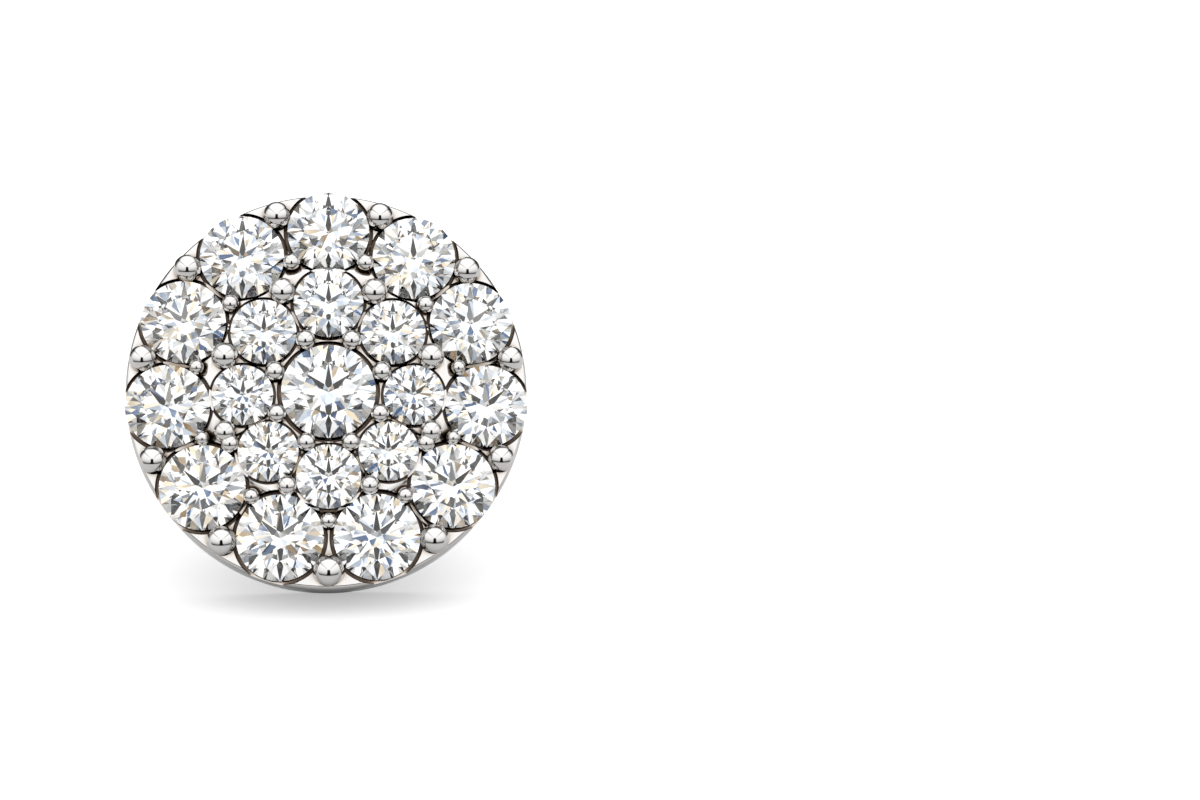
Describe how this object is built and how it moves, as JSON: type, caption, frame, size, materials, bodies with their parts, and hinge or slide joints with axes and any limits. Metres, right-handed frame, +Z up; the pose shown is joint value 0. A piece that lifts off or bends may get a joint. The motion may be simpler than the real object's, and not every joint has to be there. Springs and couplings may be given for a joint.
{
  "type": "cluster stud earring",
  "caption": "Round cluster stud earring: brilliants in two rings about a larger one, held by beads, with an ear post.",
  "frame": {"origin": "centre of the bounding box at the floor that the earring rests on", "axes": "+X to the right as the jewelled face is looked at, -Y the way the face looks, +Y the way the post runs back and down to the floor, +Z up"},
  "size_m": [0.0106, 0.0138, 0.0105],
  "materials": {
    "white_gold": "polished white gold",
    "clear_stone": "polished clear brilliant"
  },
  "bodies": {
    "root": {"setting": "white_gold", "stone_centre": "clear_stone", "stone_inner_1": "clear_stone", "stone_inner_2": "clear_stone", "stone_inner_3": "clear_stone", "stone_inner_4": "clear_stone", "stone_inner_5": "clear_stone", "stone_inner_6": "clear_stone", "stone_inner_7": "clear_stone", "stone_inner_8": "clear_stone", "stone_outer_1": "clear_stone", "stone_outer_2": "clear_stone", "stone_outer_3": "clear_stone", "stone_outer_4": "clear_stone", "stone_outer_5": "clear_stone", "stone_outer_6": "clear_stone", "stone_outer_7": "clear_stone", "stone_outer_8": "clear_stone", "stone_outer_9": "clear_stone", "stone_outer_10": "clear_stone", "stone_outer_11": "clear_stone"}
  },
  "joints": []
}
